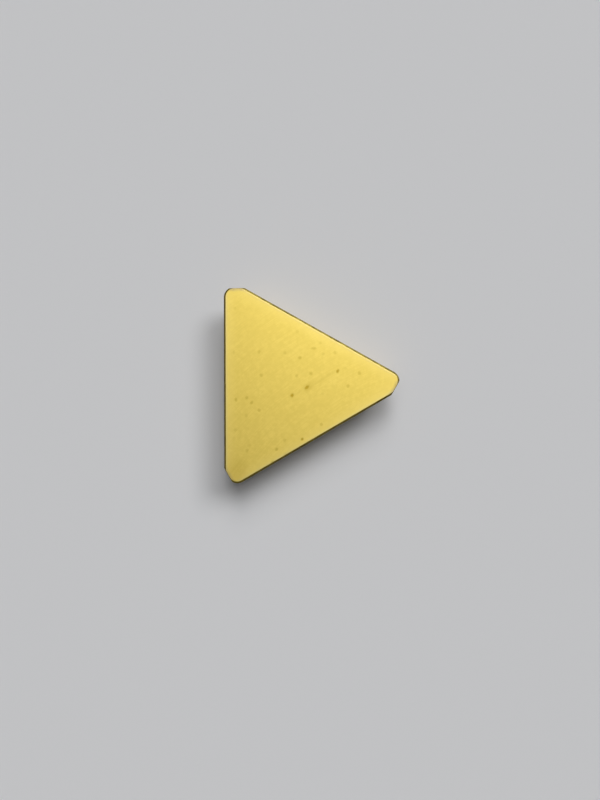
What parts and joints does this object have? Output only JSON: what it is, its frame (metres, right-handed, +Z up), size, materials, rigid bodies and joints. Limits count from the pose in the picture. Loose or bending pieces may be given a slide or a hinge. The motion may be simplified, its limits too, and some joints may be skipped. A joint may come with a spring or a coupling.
{
  "type": "carbide milling insert",
  "caption": "Triangular indexable milling insert: flat rake face, flanks that lean in below it, clipped corners with a wiper and a rounded nose, and a narrow land round the cutting edges.",
  "frame": {"origin": "centre of the inscribed circle on the bottom seat face", "axes": "+Z up from the seat to the rake face; one main flank faces -X and the corner across from it points along +X"},
  "size_m": [0.0176, 0.0197, 0.0048],
  "materials": {
    "coated_carbide": "ground carbide with a satin gold titanium nitride coating"
  },
  "bodies": {
    "root": {"insert_body": "coated_carbide"}
  },
  "joints": []
}
